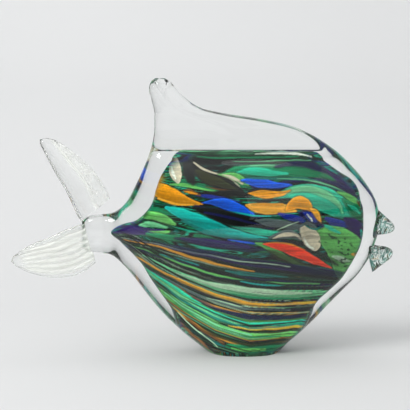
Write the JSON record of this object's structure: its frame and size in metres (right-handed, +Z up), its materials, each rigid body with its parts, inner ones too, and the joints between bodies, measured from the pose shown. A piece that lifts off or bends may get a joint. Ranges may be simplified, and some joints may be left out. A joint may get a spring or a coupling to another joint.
{
  "type": "glass fish ornament",
  "caption": "Solid hot-worked glass fish ornament: clear casing over streaked colour, drawn dorsal fin, crimped clear tail and folded lips, on a flat ground foot.",
  "frame": {"origin": "centre of the flat foot, on the surface it rests on", "axes": "+X towards the mouth, +Y towards the far flank, +Z up"},
  "size_m": [0.1798, 0.042, 0.1295],
  "materials": {
    "clear": "polished, clear",
    "clear_core": "clear, tinted by the colour round it",
    "clear_frosted": "clear, crimped and slightly frosted",
    "clear_lip": "clear, folded",
    "glass_amber": "opaque coloured glass under clear glass",
    "glass_amethyst": "opaque coloured glass under clear glass",
    "glass_aqua": "opaque coloured glass under clear glass",
    "glass_black": "opaque coloured glass under clear glass",
    "glass_blue": "opaque coloured glass under clear glass",
    "glass_cobalt": "opaque coloured glass under clear glass",
    "glass_emerald": "opaque coloured glass under clear glass",
    "glass_green": "opaque coloured glass under clear glass",
    "glass_jade": "opaque coloured glass under clear glass",
    "glass_lime": "opaque coloured glass under clear glass",
    "glass_mint": "opaque coloured glass under clear glass",
    "glass_opal": "opaque coloured glass under clear glass",
    "glass_orange": "opaque coloured glass under clear glass",
    "glass_red": "opaque coloured glass under clear glass",
    "glass_silver": "opaque coloured glass under clear glass",
    "glass_slate": "opaque coloured glass under clear glass"
  },
  "bodies": {
    "root": {"amber_canes_belly": "glass_amber", "amber_canes_foot": "glass_amber", "amber_chip_eye": "glass_amber", "amethyst_cane_flank": "glass_amethyst", "amethyst_cane_tail": "glass_amethyst", "amethyst_canes_belly": "glass_amethyst", "amethyst_chip_brow": "glass_amethyst", "amethyst_chip_cheek": "glass_amethyst", "aqua_cane_flank": "glass_aqua", "black_canes_belly": "glass_black", "black_chip_brow": "glass_black", "black_streak_crown": "glass_black", "blue_chip_cheek": "glass_blue", "clear_casing": "clear", "cobalt_chip_brow": "glass_cobalt", "cobalt_chip_eye": "glass_cobalt", "cobalt_chip_flank": "glass_cobalt", "core_gather": "clear_core", "emerald_streak_brow": "glass_emerald", "emerald_streak_crown": "glass_emerald", "far_amethyst_chip_brow": "glass_amethyst", "far_aqua_cane_tail": "glass_aqua", "far_aqua_streak_brow": "glass_aqua", "far_cobalt_chip_eye": "glass_cobalt", "far_cobalt_chip_flank": "glass_cobalt", "far_emerald_streak_crown": "glass_emerald", "far_jade_cane_flank": "glass_jade", "far_jade_streak_crown": "glass_jade", "far_lime_chip_cheek": "glass_lime", "far_opal_chip_eye": "glass_opal", "far_orange_chip_flank": "glass_orange", "far_orange_chip_tail": "glass_orange", "green_cane_flank": "glass_green", "green_canes_foot": "glass_green", "green_chip_brow": "glass_green", "jade_canes_foot": "glass_jade", "jade_streak_brow": "glass_jade", "lime_canes_foot": "glass_lime", "lime_chip_brow": "glass_lime", "lime_chip_cheek": "glass_lime", "lime_chip_tail": "glass_lime", "lip_lower": "clear_lip", "lip_upper": "clear_lip", "mint_canes_belly": "glass_mint", "opal_chip_crown": "glass_opal", "opal_chip_eye": "glass_opal", "orange_chip_flank": "glass_orange", "orange_chip_tail": "glass_orange", "red_chip_cheek": "glass_red", "silver_canes_belly": "glass_silver", "slate_chip_flank": "glass_slate", "tail_lobe_lower": "clear_frosted", "tail_lobe_upper": "clear_frosted"}
  },
  "joints": []
}
